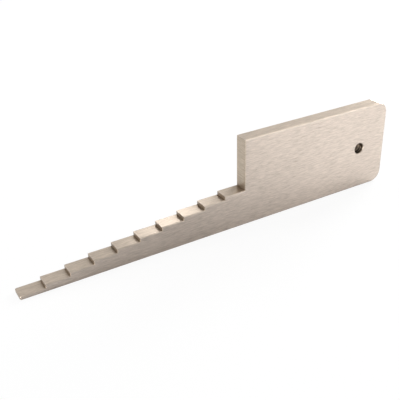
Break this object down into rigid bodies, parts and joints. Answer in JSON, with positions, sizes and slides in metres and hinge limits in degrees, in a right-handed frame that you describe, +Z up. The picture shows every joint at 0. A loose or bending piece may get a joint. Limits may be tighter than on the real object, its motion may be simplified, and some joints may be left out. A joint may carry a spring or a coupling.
{
  "type": "step gauge",
  "caption": "Flat steel step gauge: a tapering stair of even treads, a plain rounded handle and a hanging hole.",
  "frame": {"origin": "middle of the base edge, which is the straight lower edge that the gauge stands on", "axes": "+X from the thin tip towards the handle, +Y through the plate's thickness, +Z up from the base edge to the treads"},
  "size_m": [0.107, 0.004, 0.024],
  "materials": {
    "brushed_steel": "warm stainless steel, brushed along its length, with lightly broken edges"
  },
  "bodies": {
    "root": {"step_gauge": "brushed_steel"}
  },
  "joints": []
}
